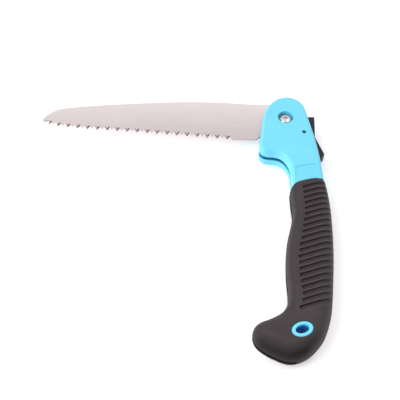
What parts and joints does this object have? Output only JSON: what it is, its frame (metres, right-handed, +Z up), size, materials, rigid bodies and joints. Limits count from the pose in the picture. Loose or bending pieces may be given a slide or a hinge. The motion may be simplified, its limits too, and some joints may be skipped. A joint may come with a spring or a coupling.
{
  "type": "folding pruning saw",
  "caption": "Folding pruning saw lying flat with its toothed blade half out, turquoise two-part core, dark ribbed soft grip, black lock lever and an oval lanyard eyelet.",
  "frame": {"origin": "middle of the footprint's bounding box, in the plane of the grip's flat underside", "axes": "+X from the blade's tip towards the back of the handle, +Y from the butt towards the head, +Z up through the saw's thickness; the saw lies on its side with the blade folded half out"},
  "size_m": [0.2227, 0.2258, 0.024],
  "materials": {
    "turquoise_plastic": "moulded, satin gloss",
    "grip_rubber": "soft moulded, matt",
    "blade_steel": "satin, brushed along its length",
    "bright_steel": "bright plated",
    "dark_steel": "blackened",
    "black_plastic": "moulded, matt",
    "washer_brass": "turned"
  },
  "bodies": {
    "handle": {"front_core_half": "turquoise_plastic", "rear_core_half": "turquoise_plastic", "lanyard_eyelet": "turquoise_plastic", "front_grip": "grip_rubber", "rear_grip": "grip_rubber", "pivot_screw": "bright_steel", "screw_washer": "bright_steel", "lever_spring": "bright_steel", "pivot_nut": "dark_steel", "nut_washer": "dark_steel", "pivot_sleeve": "dark_steel", "lever_pin": "dark_steel", "handle_screw_1": "dark_steel", "handle_screw_2": "dark_steel", "handle_screw_3": "dark_steel", "handle_screw_4": "dark_steel", "core_dowel_1": "dark_steel", "core_dowel_2": "dark_steel", "front_blade_washer": "washer_brass", "rear_blade_washer": "washer_brass"},
    "blade": {"blade": "blade_steel"},
    "lock_lever": {"lock_lever": "black_plastic"}
  },
  "joints": [
    {"name": "blade_fold", "type": "hinge", "parent": "handle", "child": "blade", "pos_m": [0.0833, 0.0884, 0.012], "axis": [0, 0, 1], "range_deg": [-85, 86]},
    {"name": "lever_press", "type": "hinge", "parent": "handle", "child": "lock_lever", "pos_m": [0.0967, 0.073, 0.012], "axis": [0, 0, -1], "range_deg": [-5.5, 7], "stiffness_Nm_per_rad": 0.6, "springref_deg": -8.59, "deforming": ["lever_spring"]}
  ]
}
